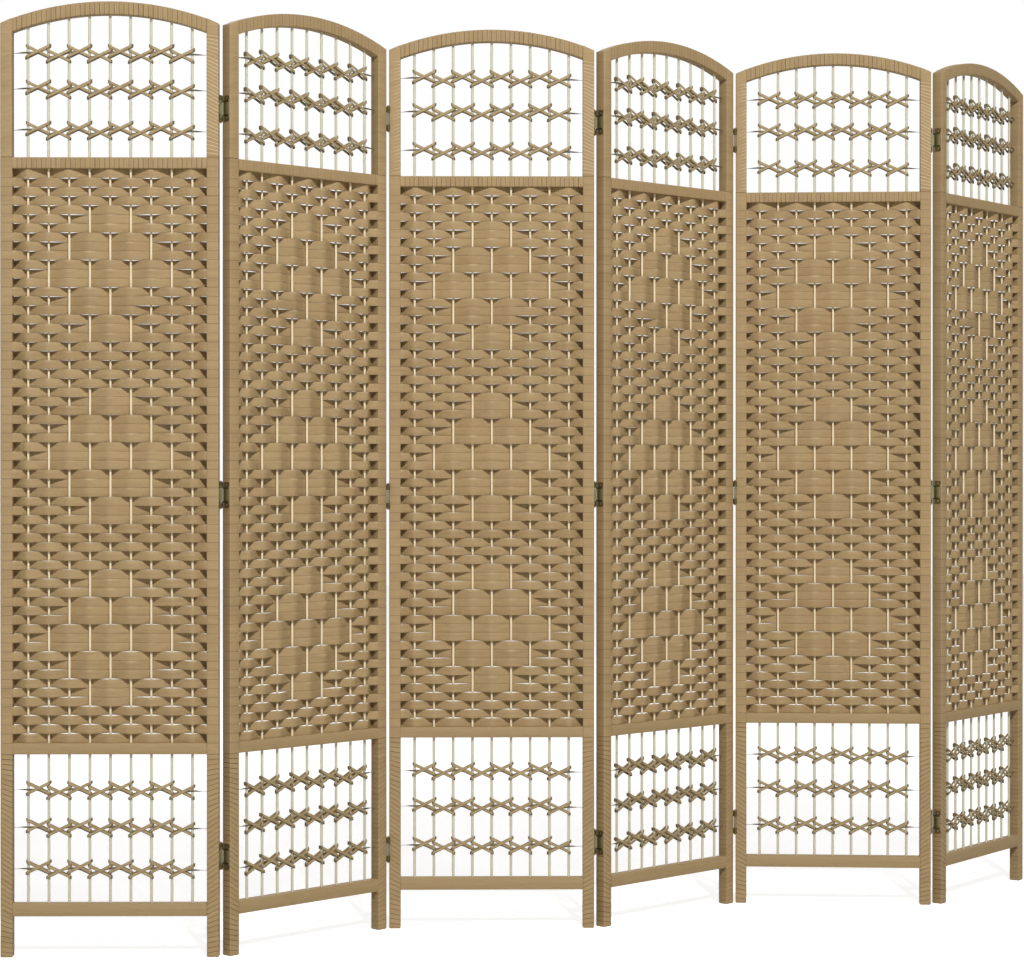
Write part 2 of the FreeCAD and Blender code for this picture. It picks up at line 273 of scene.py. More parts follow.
TAN = srgb(181, 155, 114)
TAN_DARK = srgb(172, 146, 105)
TAN_LIGHT = srgb(187, 162, 120)
GROOVE_AND_SHADE = srgb(62, 46, 28)

POST_STRANDS = (0.04, 0.04, 1)
BAND_STRANDS = (0.03, 0.3, 1)
UPRIGHT_STRANDS = (1, 0.05, 0.05)
wrap_material = fibre_material("wrapped_fibre", TAN, TAN_DARK, TAN_LIGHT, GROOVE_AND_SHADE, POST_STRANDS)
band_material = fibre_material("woven_fibre", TAN, TAN_DARK, TAN_LIGHT, GROOVE_AND_SHADE, BAND_STRANDS)
arch_material = fibre_material("wrapped_rail", TAN, TAN_DARK, TAN_LIGHT, GROOVE_AND_SHADE, UPRIGHT_STRANDS)
rail_material = fibre_material(
    "smooth_rail", srgb(178, 153, 112), srgb(172, 147, 107), srgb(182, 157, 116), GROOVE_AND_SHADE,
    BAND_STRANDS,
)
# Split cane: its dark colour is painted shade on the loops' undersides, edges and ends
slat_material = fibre_material(
    "split_cane", srgb(180, 160, 120), srgb(164, 140, 108), srgb(190, 176, 130),
    srgb(56, 46, 28), BAND_STRANDS,
)
cane_material = rod_material()
bronze = bronze_material()
tie_material = tie_cane_material()


# Mesh helpers

class Weaver:
    # Collects rings of points into one mesh. Each point has a value for dark grooves and
    # painted shade, a tint that also carries the rods' painted highlight, and a shine for
    # painted highlights, and edges between two points marked as crisp stay sharp.
    def __init__(self):
        self.points = []
        self.values = {"groove": [], "tint": [], "shine": [], "crisp": []}
        self.faces = []

    def ring(self, points, **values):
        start = len(self.points)
        self.points.extend(points)
        for name, stored in self.values.items():
            value = values.get(name, 0.5 if name == "tint" else 0.0)
            if isinstance(value, (list, tuple)):
                stored.extend(value)
            else:
                stored.extend([value] * len(points))
        return list(range(start, len(self.points)))

    def join(self, first, second):
        # Quads between two closed rings of the same length
        count = len(first)
        for i in range(count):
            j = (i + 1) % count
            self.faces.append((first[i], first[j], second[j], second[i]))

    def cap(self, ring, turned=False):
        self.faces.append(tuple(reversed(ring)) if turned else tuple(ring))

    def loft(self, rings):
        for first, second in zip(rings, rings[1:]):
            self.join(first, second)
        self.cap(rings[0], turned=True)
        self.cap(rings[-1])

    def mesh(self, name, smooth_angle=40):
        mesh = bpy.data.meshes.new(name)
        mesh.from_pydata([tuple(c * MM for c in p) for p in self.points], [], self.faces)
        for kind, values in self.values.items():
            attribute = mesh.attributes.new(kind, "FLOAT", "POINT")
            attribute.data.foreach_set("value", values)
        tidy = bmesh.new()
        tidy.from_mesh(mesh)
        bmesh.ops.recalc_face_normals(tidy, faces=tidy.faces)
        tidy.to_mesh(mesh)
        tidy.free()
        mesh.shade_smooth()
        mesh.set_sharp_from_angle(angle=math.radians(smooth_angle))
        crisp = [item.value for item in mesh.attributes["crisp"].data]
        for edge in mesh.edges:
            if all(crisp[i] > 0.5 for i in edge.vertices):
                edge.use_edge_sharp = True
        mesh.attributes.remove(mesh.attributes["crisp"])
        return mesh


def put(name, mesh, material, body, matrix, nodes):
    # A finished piece, riding on its body and standing for its nodes
    piece = bpy.data.objects.new(name, mesh)
    if not mesh.materials:
        mesh.materials.append(material)
    bpy.context.scene.collection.objects.link(piece)
    piece.matrix_world = matrix
    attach(piece, body)
    if nodes:
        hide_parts(*nodes)


def rounded_outline(low_x, high_x, low_y, high_y, radius, steps=2):
    # A rectangle with rounded corners, seen from above, anticlockwise
    corners = [
        (high_x - radius, low_y + radius, -90),
        (high_x - radius, high_y - radius, 0),
        (low_x + radius, high_y - radius, 90),
        (low_x + radius, low_y + radius, 180),
    ]
    points = []
    for x, y, start in corners:
        for i in range(steps + 1):
            angle = math.radians(start + 90 * i / steps)
            points.append((x + radius * math.cos(angle), y + radius * math.sin(angle)))
    return points


# Posts: wrapped strips above and below, the weave's rows round them between

GROOVE_HALF = 0.8
GROOVE_DEPTH = 0.45
CORNER = 1.5
WRAP_SWELL = 0.04
# How much painted shade darkens a post's side faces
SIDE_SHADE = 0.2
FOOT_BEVEL = 1.6
FOOT_SHARE = 0.87
# Rounding at a post's top: how far in and how far down
TOP_BEVELS = ((0.0, 1.4), (0.4, 0.4), (1.4, 0.0))
LOW_WRAP = 9.0
# Wraps above the upper rail: how strong their grooves are, how far apart they are and how
# steeply they lean. Ones whose lines get a painted highlight are on the panels that face
# the camera, apart from the first panel's left post.
PLAIN_WRAPS = (0.14, 8.9, 0.3)
PALE_LEFT_WRAPS = (0.2, 6.7, 0.4)
PALE_RIGHT_WRAPS = (0.2, 6.7, 0.58)


def between(table, at):
    # A value read from a table of (place, value) pairs, straight between them
    for (low, first), (high, second) in zip(table, table[1:]):
        if at <= high:
            share = max(0.0, (at - low) / (high - low))
            return first + (second - first) * share
    return table[-1][1]


def arch_top(x):
    # The height of the arch's outline at x
    return ARCH_CENTRE + math.sqrt(ARCH_RADIUS ** 2 - (x - WIDTH / 2) ** 2)


def strip_lines(low, high, pitch):
    # Evenly spaced places from low to high, as near to the pitch as fits
    count = round((high - low) / pitch)
    return [low + (high - low) * i / count for i in range(count + 1)]


# How steeply a post's lower wraps lean, by height, towards the panel's middle
LEANS = [
    (0, 0.1), (44, 0.27), (78, 0.47), (130, 0.68), (230, 0.68), (260, 0.55), (277, 0.43),
    (315, 0.28), (343, 0.12), (361, 0.0),
]


def post_lines(is_left, mirrored, pale, draw):
    # Each line round a post is a height, how strong its groove is, how far it leans and
    # how strong its painted highlight is
    inward = 1 if is_left else -1
    low_strength = 0.7 if mirrored and not is_left else 1.0
    lines = []
    for z in strip_lines(0, LOW_RAIL, LOW_WRAP)[1:-1]:
        strength = low_strength * draw.uniform(0.75, 1.0)
        lines.append((z, strength, -between(LEANS, z) * inward, 0.0))
    lines.append((LOW_RAIL, 0.8, 0.0, 0.0))
    for i in range(ROWS):
        lines.append((WOVEN + i * ROW, draw.uniform(0.4, 0.65), 0.0, 0.0))
    lines.append((HIGH_OPENING, 0.9, 0.0, 0.0))
    high_wraps = PLAIN_WRAPS
    if pale:
        high_wraps = PALE_LEFT_WRAPS if is_left else PALE_RIGHT_WRAPS
    faint, pitch, steepest = high_wraps
    for z in strip_lines(HIGH_OPENING, ARCH_SPRING, pitch)[1:-1]:
        share = (z - HIGH_OPENING) / (ARCH_SPRING - HIGH_OPENING)
        lean = steepest * math.sin(math.pi * share) ** 0.6 * inward
        strength = faint * draw.uniform(0.6, 1.1)
        lines.append((z, strength, lean, pale * draw.uniform(0.5, 1.0)))
    return lines


def post_mesh(name, is_left, mirrored, pale):
    # A post with a ring of points at each wrap's edges, middle and groove; the lines of
    # its upper part get a painted highlight of the given strength
    draw = random.Random(LEFT_POST_SEED if is_left else RIGHT_POST_SEED)
    half = POST / 2
    middle_x = half if is_left else WIDTH - half
    weaver = Weaver()
    outline = rounded_outline(middle_x - half, middle_x + half, 0, DEPTH, CORNER, 3)
    # The points on the post's side faces get painted shade
    painted_side_shade = [SIDE_SHADE if abs(x - middle_x) > half - 0.1 else 0.0 for x, y in outline]

    # A left post's painted highlight lines are on the half towards the panel's middle
    pale_share = [1.0] * len(outline)
    if is_left:
        pale_share = [min(1.0, max(0.0, 0.3 + (x - middle_x) / half)) for x, y in outline]

    def moved_in(x, y, inset):
        across = middle_x + (x - middle_x) * (1 - inset / half)
        return across, MIDDLE + (y - MIDDLE) * (1 - inset / MIDDLE)

    def section(z, inset, lean, groove=0.0, pale=0.0, **values):
        points = []
        grooves = [max(groove, dark) for dark in painted_side_shade]
        values["shine"] = [pale * share for share in pale_share]
        for x, y in outline:
            height = max(FOOT_BEVEL, z + lean * (x - middle_x))
            points.append((*moved_in(x, y, inset), height))
        return weaver.ring(points, groove=grooves, **values)

    foot = []
    for x, y in outline:
        foot.append((
            middle_x + (x - middle_x) * FOOT_SHARE, MIDDLE + (y - MIDDLE) * FOOT_SHARE, 0.0,
        ))
    rings = [weaver.ring(foot, groove=painted_side_shade), section(FOOT_BEVEL, 0.0, 0.0)]
    previous = 2.0
    for z, strength, lean, pale_line in post_lines(is_left, mirrored, pale, draw):
        tint = draw.random()
        rings.append(section((previous + z) / 2, -WRAP_SWELL, lean, tint=tint))
        rings.append(section(z - GROOVE_HALF, 0.0, lean, tint=tint, crisp=1.0))
        rings.append(section(
            z, GROOVE_DEPTH * strength, lean, groove=strength, pale=pale_line, tint=tint,
        ))
        rings.append(section(z + GROOVE_HALF, 0.0, lean, tint=tint, crisp=1.0))
        previous = z
    for inset, drop in TOP_BEVELS:
        ring = [(*moved_in(x, y, inset), arch_top(x) - drop) for x, y in outline]
        rings.append(weaver.ring(ring, groove=painted_side_shade))
    weaver.loft(rings)
    return weaver.mesh(name)


# Arched rail and wrapped cross rail: strips wound round them, seen as upright lines

RAIL_STRIPS = 40
# How far down from a rail's top its painted highlight reaches
UPPER_EDGE = 1.4
# How far the marks between strips show on each panel's arch and upper rail
ARCH_MARKS = (1.0, 0.75, 1.0, 0.5, 1.0, 0.15)
UPPER_RAIL_MARKS = (1.0, 0.4, 1.0, 0.18, 1.0, 0.1)


def rail_ring(weaver, x, low, high, inset, pale=0.0, **values):
    # A rounded section across a rail that runs along x; its upper edge can get a painted
    # highlight
    half = (high - low) / 2 - inset
    centre = (high + low) / 2
    outline = rounded_outline(inset, DEPTH - inset, centre - half, centre + half, CORNER)
    values["shine"] = [pale if z > centre + half - UPPER_EDGE else 0.0 for y, z in outline]
    return weaver.ring([(x, y, z) for y, z in outline], **values)


def wrapped_rail_mesh(name, edges, seams, seed, depth):
    # edges gives the rail's lower and upper height at each x; seams are dark joint lines;
    # depth is how far the marks between strips show
    draw = random.Random(seed)
    weaver = Weaver()
    first = POST
    last = WIDTH - POST
    pitch = (last - first) / RAIL_STRIPS
    marks = []
    for i in range(1, RAIL_STRIPS):
        x = first + i * pitch + draw.uniform(-0.25, 0.25)
        marks.append((x, depth * draw.uniform(0.6, 0.95)))
    halves = []
    for i in range(RAIL_STRIPS):
        halves.append((first + (i + 0.5) * pitch, depth * draw.uniform(0.05, 0.2)))
    if seams:
        marks.extend([(first + GROOVE_HALF + 0.1, 0.4), (last - GROOVE_HALF - 0.1, 0.5)])
        halves = halves[1:-1]
        marks = [mark for mark in marks if not 2.0 < min(mark[0] - first, last - mark[0]) < 4.0]
    marks = sorted(marks + halves)
    rings = []

    def ring(x, inset, **values):
        low, high = edges(x)
        rings.append(rail_ring(weaver, x, low, high, inset, **values))

    ring(first, 0.0)
    tint = draw.random()
    for x, strength in marks:
        ring(x - GROOVE_HALF, 0.0, tint=tint, crisp=1.0)
        # Strong marks on the panels whose marks show fully get a painted highlight along their
        # upper edge
        ring(
            x, GROOVE_DEPTH * strength, groove=strength, tint=tint,
            pale=0.8 if strength > 0.5 and depth == 1.0 else 0.0,
        )
        if strength > 0.3 * depth:
            tint = 0.5 + (draw.random() - 0.5) * depth
        ring(x + GROOVE_HALF, 0.0, tint=tint, crisp=1.0)
    ring(last, 0.0, tint=tint)
    weaver.loft(rings)
    return weaver.mesh(name)


def arch_edges(x):
    # The arch's lower and upper height at x
    inner = ARCH_RADIUS - ARCH_BAND
    return ARCH_CENTRE + math.sqrt(inner ** 2 - (x - WIDTH / 2) ** 2), arch_top(x)


def high_rail_edges(x):
    # The upper rail's lower and upper height, the same at every x
    return HIGH_RAIL, HIGH_OPENING


def plain_rails_mesh(name):
    # The lower middle rail and the bottom rail, smooth, with rounded edges
    weaver = Weaver()
    for low, high in ((LEG, LOW_OPENING), (LOW_RAIL, WOVEN)):
        rings = []
        steps = 12
        for i in range(steps + 1):
            x = POST + (WIDTH - 2 * POST) * i / steps
            rings.append(rail_ring(weaver, x, low, high, 0.0))
        weaver.loft(rings)
    return weaver.mesh(name)


# Rods: one each from the bottom rail up to the arch

def tube(weaver, path, sides=10):
    # An upright tube through (x, y, z, radius, tint) places; the tint also carries the rods'
    # painted highlight
    rings = []
    for x, y, z, radius, tint in path:
        rings.append(weaver.ring([
            (
                x + radius * math.cos(2 * math.pi * i / sides),
                y + radius * math.sin(2 * math.pi * i / sides),
                z,
            )
            for i in range(sides)
        ], tint=tint))
    weaver.loft(rings)


def rods_mesh(name):
    # Nearly straight rods that end a little inside the bottom rail and the arch
    draw = random.Random(ROD_SEED)
    weaver = Weaver()
    steps = 60
    for i in range(RODS):
        x = rod_x(i)
        low = LOW_OPENING - 1.0
        high = arch_edges(x)[0] + 1.5
        bow = draw.uniform(-0.25, 0.25)
        path = []
        for j in range(steps + 1):
            share = j / steps
            sway = bow * math.sin(math.pi * share) + 0.06 * math.sin(17 * share + i)
            z = low + (high - low) * share
            woven = WOVEN - RAIL / 2 < z < HIGH_RAIL + RAIL / 2
            radius = WOVEN_ROD_RADIUS if woven else ROD_RADIUS
            # Inside the weave the rod's colour is painted paler, a painted highlight
            path.append((x + sway, MIDDLE, z, radius, 1.0 if woven else 0.0))
        tube(weaver, path)
    return weaver.mesh(name)


# Woven infill: each row is a band that passes in front of some rods and behind the rest

# How far a band's middle is from the rods' plane, its half thickness, and its place at a post
BAND_AWAY = 6.6
BAND_HALF = 0.6
BAND_AT_POST = 8.6
BAND_BEND = 0.2
BAND_STEPS = 8
# Where a band passes behind its neighbours it shows a gap, which is widest away from the
# height of the camera. Beside the posts the bands overlap instead.
BEHIND_GAP = 0.42
GAP_MIDDLE = 880
GAP_STARTS = 130
GAP_GROWS = 260
GAP_AT_POST = -0.4
GAP_AT_POST_MIRRORED = -1.4
# The three diamonds' first rows, and the rods that their rows cover
DIAMOND_FIRST_ROWS = (6, 26, 46)
DIAMOND_ROWS = {
    0: (2, 5, 8),
    3: (1, 4, 6, 9),
    6: (3, 5, 7),
    9: (1, 4, 6, 9),
    12: (2, 5, 8),
}
# The one row of the diamonds that covers a rod more than the others like it
ODD_ROW_OUT = 15
# How strong the painted highlight on a band's upper edge can be where it bulges over a rod, and
# how fast that fades
GLEAM = 0.7
GLEAM_FALL = 2.4


def rods_covered(row, mirrored):
    # The rods, counted from 1, that a row passes in front of; rows count from the top
    covered = (1, 3, 5, 7, 9) if row % 2 else (2, 4, 6, 8)
    for first in DIAMOND_FIRST_ROWS:
        if row - first in DIAMOND_ROWS:
            covered = DIAMOND_ROWS[row - first]
    if row == ODD_ROW_OUT:
        covered = (1, 4, 6, 7, 9)
        if mirrored:
            covered = tuple(RODS + 1 - rod for rod in covered)
    return covered


def bent(share):
    # From one rod to the next: a straight run between two rounded bends
    speed = 1 / (1 - BAND_BEND)
    if share < BAND_BEND:
        return speed * share * share / (2 * BAND_BEND)
    if share > 1 - BAND_BEND:
        return 1 - speed * (1 - share) ** 2 / (2 * BAND_BEND)
    return speed * (share - BAND_BEND / 2)


def band_stops(row, mirrored):
    # Places (x, y) that a band's middle passes through, from post to post
    covered = rods_covered(row, mirrored)
    at_post = BAND_AT_POST if row % 2 else -BAND_AT_POST
    stops = [(POST, at_post)]
    for i in range(RODS):
        stops.append((rod_x(i), -BAND_AWAY if i + 1 in covered else BAND_AWAY))
    stops.append((WIDTH - POST, at_post))
    return stops


# Across a band: up, out, how dark the edge line is
BAND_PROFILE = [
    (0.5, -0.55, 0.4), (0.455, -0.95, 0.0), (0.2, -1.1, 0.0), (-0.2, -1.1, 0.0),
    (-0.455, -0.95, 0.0), (-0.5, -0.55, 0.7),
    (-0.5, 0.55, 0.7), (-0.455, 0.95, 0.0), (0.455, 0.95, 0.0), (0.5, 0.55, 0.4),
]


def band_run(stops):
    # Places along a band: the number of its last stop, the share of the way to the next
    # one, x and how far it is behind the middle
    for place, (start, end) in enumerate(zip(stops, stops[1:])):
        last = end is stops[-1]
        for i in range(BAND_STEPS + (1 if last else 0)):
            share = i / BAND_STEPS
            x = start[0] + (end[0] - start[0]) * share
            yield place, share, x, start[1] + (end[1] - start[1]) * bent(share)


def band_depth(stops, x):
    # How far behind the middle a band is at x
    for start, end in zip(stops, stops[1:]):
        if x <= end[0]:
            return start[1] + (end[1] - start[1]) * bent((x - start[0]) / (end[0] - start[0]))
    return stops[-1][1]


def border_line(draw):
    # A gently wavy line between two rows, as the height at each x
    waves = []
    for wave in range(2):
        waves.append((draw.uniform(0.05, 0.22), draw.uniform(14, 48), draw.uniform(0, 6.28)))
    return lambda x: sum(size * math.sin(x / length + phase) for size, length, phase in waves)


def row_gap(x, top, mirrored):
    # How much a band gives way to a neighbour that is in front of it
    if x < rod_x(0) or x > rod_x(RODS - 1):
        return GAP_AT_POST_MIRRORED if mirrored else GAP_AT_POST
    return BEHIND_GAP * min(1.0, max(0.0, (abs(top - GAP_MIDDLE) - GAP_STARTS) / GAP_GROWS))


def behind_share(depth, other_stops, x):
    # 0 where a band isn't behind another one, 1 where it is a whole weave behind it
    return min(1.0, max(0.0, (depth - band_depth(other_stops, x)) / (2 * BAND_AWAY)))


def gleam_at(gleams, place, share):
    # A gleam is strongest at its rod and fades towards the next ones
    near_rod = 1 - min(1.0, GLEAM_FALL * min(share, 1 - share))
    return near_rod * (gleams[place] if share < 0.5 else gleams[place + 1])


def woven_mesh(name, mirrored):
    # One band for each row, whose edges follow the wavy lines between rows
    draw = random.Random(WEAVE_SEED)
    gleam_draw = random.Random(GLEAM_SEED)
    weaver = Weaver()
    profile_grooves = [dark for up, out, dark in BAND_PROFILE]
    borders = [border_line(draw) for row in range(ROWS + 1)]
    stops = [band_stops(row, mirrored) for row in range(ROWS + 2)]

    def edges(row, x, depth):
        # The heights of a band's lower and upper edge at x
        high = HIGH_RAIL - (row - 1) * ROW
        low = high - ROW
        gap = row_gap(x, high, mirrored)
        if row > 1:
            high += borders[row - 1](x) - gap * behind_share(depth, stops[row - 1], x)
        if row < ROWS:
            low += borders[row](x) + gap * behind_share(depth, stops[row + 1], x)
        return low, high

    for row in range(1, ROWS + 1):
        tint = draw.random()
        gleams = [gleam_draw.uniform(0.0, GLEAM) for place in range(RODS + 2)]
        rings = []
        for place, share, x, depth in band_run(stops[row]):
            low, high = edges(row, x, depth)
            # The upper edge gleams where the band bulges to the front over a rod
            gleam = gleam_at(gleams, place, share) if row > 1 and depth < 0 else 0.0
            rings.append(weaver.ring(
                [
                    (x, MIDDLE + depth + out * BAND_HALF, (high + low) / 2 + up * (high - low))
                    for up, out, dark in BAND_PROFILE
                ],
                groove=profile_grooves, tint=tint,
                shine=[gleam, 0.3 * gleam] + [0.0] * (len(BAND_PROFILE) - 2),
            ))
        weaver.loft(rings)
    return weaver.mesh(name, smooth_angle=62)


# Lattices: each cross is two flattened loops of split cane round a pair of rods

STRIP_HEIGHT = 5.5
STRIP_THICK = 1.1
LOOP_REACH = PITCH / 2 + 0.5
LOOP_LEAN = 8.9 / (PITCH / 2)
TIE_HALF = 0.35
TIE_AWAY = -(ROD_RADIUS + TIE_HALF + 0.1)
# How far every second cross of a row is below the others
CROSS_DROP = 7.6006
HIGH_ROWS = [HIGH_OPENING + share * HIGH_OPENING_HEIGHT for share in (0.2346, 0.5631, 0.8490)]
LOW_ROWS = [
    LOW_OPENING + share * (LOW_RAIL - LOW_OPENING) for share in (0.2392, 0.5185, 0.7706)
]


def loop_path(middle_x, reach, half_depth, turn_steps=4):
    # A flattened ring seen from above: two straight runs and two half turns
    points = []
    for side in (1, -1):
        for i in range(4):
            share = -0.75 + 0.5 * i
            points.append((middle_x + side * reach * share, MIDDLE - side * half_depth))
        for i in range(turn_steps + 1):
            angle = math.radians(-90 + 180 * i / turn_steps) + (0 if side > 0 else math.pi)
            points.append((
                middle_x + side * reach + half_depth * math.cos(angle) * 0.75,
                MIDDLE + half_depth * math.sin(angle),
            ))
    return points


def add_loop(weaver, middle_x, middle_z, lean, half_depth, draw):
    # One loop of a cross. Painted shade darkens its edges and ends, its lower edge most from its
    # middle down to its low end.
    height = STRIP_HEIGHT * draw.uniform(0.95, 1.06) / 2
    tint = draw.random()
    path = loop_path(middle_x, LOOP_REACH, half_depth)
    inner = loop_path(middle_x, LOOP_REACH, half_depth - STRIP_THICK)
    rings = []
    for (x, y), (in_x, in_y) in zip(path, inner):
        z = middle_z + lean * (x - middle_x)
        towards_low = -lean * (x - middle_x) > -1.0
        at_end = abs(x - middle_x) > PITCH / 2 + 1
        underside_shade = 0.95 if towards_low else 0.45
        # Share of the way in, height, how much painted shade
        section = [
            (0.0, -height + (1.3 if towards_low else 0.6), 0.0), (0.0, height - 0.5, 0.0),
            (0.3, height, 0.25), (0.7, height, 0.25), (1.0, height - 0.5, 0.2),
            (1.0, -height + 0.55, 0.2), (0.7, -height, underside_shade), (0.1, -height + 0.1, underside_shade),
        ]
        rings.append(weaver.ring(
            [
                (x + (in_x - x) * share, y + (in_y - y) * share, z + up)
                for share, up, dark in section
            ],
            # The loop's ends, where it turns round a rod, get more painted shade
            groove=[max(dark, 0.6) if at_end else dark for share, up, dark in section],
            tint=tint,
        ))
    for first, second in zip(rings, rings[1:] + rings[:1]):
        weaver.join(first, second)


def lattice_mesh(name, rows, mirrored):
    # Rows of crosses, each an outer loop and an inner loop that leans the other way
    draw = random.Random(LATTICE_SEED)
    weaver = Weaver()
    inner = ROD_RADIUS + 2 * TIE_HALF + STRIP_THICK + 0.4
    outer = inner + STRIP_THICK + 0.2
    for centre in rows:
        for i in range(RODS - 1):
            low = i % 2 == (0 if mirrored else 1)
            x = (rod_x(i) + rod_x(i + 1)) / 2
            z = centre - (CROSS_DROP if low else 0) + draw.uniform(-0.3, 0.3)
            rising = -LOOP_LEAN if mirrored else LOOP_LEAN
            add_loop(weaver, x, z, rising, outer, draw)
            add_loop(weaver, x, z, -rising, inner, draw)
    return weaver.mesh(name, smooth_angle=50)


def tie_points():
    # The tie's points from post to post: x, height over the row's centre, distance
    # behind the middle, twist, half width and how grey it is. It runs between the
    # rods and the front of the loops.
    points = [
        (POST + 0.3, -3.4, 0.0, 90.0, 0.7, 0.75),
        (POST + 4.0, -3.3, 0.0, 90.0, 1.6, 0.7),
        (POST + 14, -2.6, -1.2, 58.0, 1.7, 0.6),
        (rod_x(0), -2.4, TIE_AWAY, 10.0, 1.7, 0.3),
    ]
    for i in range(RODS - 1):
        x = rod_x(i) + PITCH / 2
        if i % 2 == 1:
            points.append((x, -7.0, TIE_AWAY, 0.0, 2.2, 0.0))
            points.append((rod_x(i + 1), -1.8, TIE_AWAY, 0.0, 2.2, 0.0))
        else:
            points.append((x, -3.2, TIE_AWAY, 0.0, 2.2, 0.0))
            points.append((rod_x(i + 1), -10.4, TIE_AWAY, 0.0, 2.2, 0.0))
    points.pop()
    end = WIDTH - POST
    points.append((rod_x(RODS - 1), -5.4, TIE_AWAY, 10.0, 1.7, 0.3))
    points.append((end - 14, -5.7, -1.2, 58.0, 1.7, 0.6))
    points.append((end - 4.0, -6.0, 0.0, 90.0, 1.6, 0.7))
    points.append((end - 0.3, -6.0, 0.0, 90.0, 0.7, 0.75))
    return points


def smooth_line(points, steps=6):
    # A smooth run through the points, each a tuple of numbers
    line = []
    for i in range(len(points) - 1):
        before = points[max(0, i - 1)]
        start = points[i]
        end = points[i + 1]
        after = points[min(len(points) - 1, i + 2)]
        for j in range(steps):
            t = j / steps
            line.append(tuple(
                0.5 * (
                    2 * b + (c - a) * t + (2 * a - 5 * b + 4 * c - d) * t * t
                    + (3 * b - a - 3 * c + d) * t ** 3
                )
                for a, b, c, d in zip(before, start, end, after)
            ))
    line.append(points[-1])
    return line


def ties_mesh(name, rows, mirrored):
    # One flat tie along each row of crosses
    weaver = Weaver()
    for centre in rows:
        rings = []
        points = tie_points()
        if mirrored:
            points = [(WIDTH - x, *rest) for x, *rest in reversed(points)]
        for x, drop, away, twist, wide, grey in smooth_line(points):
            turn = math.radians(twist)
            ring = []
            for i in range(8):
                angle = 2 * math.pi * (i + 0.5) / 8
                across = TIE_HALF * math.cos(angle)
                tall = wide * math.sin(angle)
                ring.append((
                    x,
                    MIDDLE + away + across * math.cos(turn) - tall * math.sin(turn),
                    centre + drop + across * math.sin(turn) + tall * math.cos(turn),
                ))
            rings.append(weaver.ring(ring, groove=max(0.0, min(1.0, grey))))
        weaver.loft(rings)
    return weaver.mesh(name)


# Hinges: two leaves each with knuckles, a pin with turned ends, and screws

KNUCKLE = 2.45
OUTER_KNUCKLE = 3.3
KNUCKLE_EDGE = 0.6
LEAF_DEPTH = 18.8
LEAF_THICK = 0.9
MIDDLE_KNUCKLE = 22.0
END_KNUCKLE = (HINGE_HEIGHT - MIDDLE_KNUCKLE) / 2 - 0.4
DOME = 0.2
DOME_HALF = 11
# A leaf's near edge, from the pin, beside its own knuckles and beside the other leaf's
NEAR_OWN = 1.6
NEAR_OTHER = 3.9
SCREW_HEIGHT = 17.5
SCREW_INSET = 5.5
# A screw's head: radius, how far it stands out, how dark and how strong its painted highlight is
SCREW_HEAD = (
    (3.2, -0.3, 1.0, 0.0), (3.2, 0.04, 1.0, 0.0), (2.2, 0.08, 1.0, 0.0),
    (1.9, 0.16, 0.0, 0.4), (1.0, 0.24, 0.0, 0.6), (0.3, 0.25, 0.0, 0.6),
)
SLOT_CORNERS = ((-1.9, -0.95), (1.9, 0.25), (1.9, 0.95), (-1.9, -0.25))
# A pin's turned end: radius, how far it stands out past the knuckle, how strong its painted
# highlight is
PIN_TIP = ((1.5, -1.0, 0.0), (2.4, 0.1, 0.1), (2.8, 0.9, 0.3), (2.3, 1.8, 0.3), (0.8, 2.4, 0.1))
# How strong the painted highlight is where the knuckles meet on ridge joints and on valley
# joints
RIDGE_HIGHLIGHT = 0.6
VALLEY_HIGHLIGHT = 0.1


def turned_piece(weaver, profile, sides=16, **values):
    # A piece turned about the pin's line: profile gives (radius, height, shine) rows
    rings = []
    for radius, z, shine in profile:
        points = []
        for i in range(sides):
            angle = 2 * math.pi * i / sides
            points.append((radius * math.cos(angle), radius * math.sin(angle), z))
        rings.append(weaver.ring(points, shine=shine, **values))
    weaver.loft(rings)


def knuckle(weaver, low, high, radius, shines, groove):
    # shines is how strong the barrel's painted highlight is at its low end, its middle and its
    # high end
    turned_piece(weaver, [
        (radius - KNUCKLE_EDGE, low, shines[0]), (radius, low + KNUCKLE_EDGE, shines[0]),
        (radius, (low + high) / 2, shines[1]), (radius, high - KNUCKLE_EDGE, shines[2]),
        (radius - KNUCKLE_EDGE, high, shines[2]),
    ], tint=1.0, groove=groove)


def screw(weaver, face, side, y, z):
    # A low round head on the leaf's face, with a dark rim, a dark slot across it and a painted
    # highlight on its crown
    rings = []
    for radius, out, groove, shine in SCREW_HEAD:
        points = []
        for i in range(14):
            angle = 2 * math.pi * i / 14
            points.append((
                face - side * out, y + radius * math.cos(angle), z + radius * math.sin(angle),
            ))
        rings.append(weaver.ring(points, groove=groove, shine=shine, tint=0.6))
    weaver.loft(rings)
    slot = []
    for out in (0.0, 0.27):
        slot.append(weaver.ring(
            [(face - side * out, y + along, z + across) for along, across in SLOT_CORNERS],
            groove=1.0,
        ))
    weaver.loft(slot)


# The leaf's outline above its middle: height, distance of its far edge from full depth
LEAF_EDGE = [
    (0, 0.9), (6, 0.9), (10.6, 1.0), (11.2, 1.3), (12.6, 2.2), (14.2, 2.2), (15.6, 0.9),
    (17.5, 0.2), (20.2, 0.0), (21.6, 0.4), (22.6, 1.4), (23.0, 2.6),
]


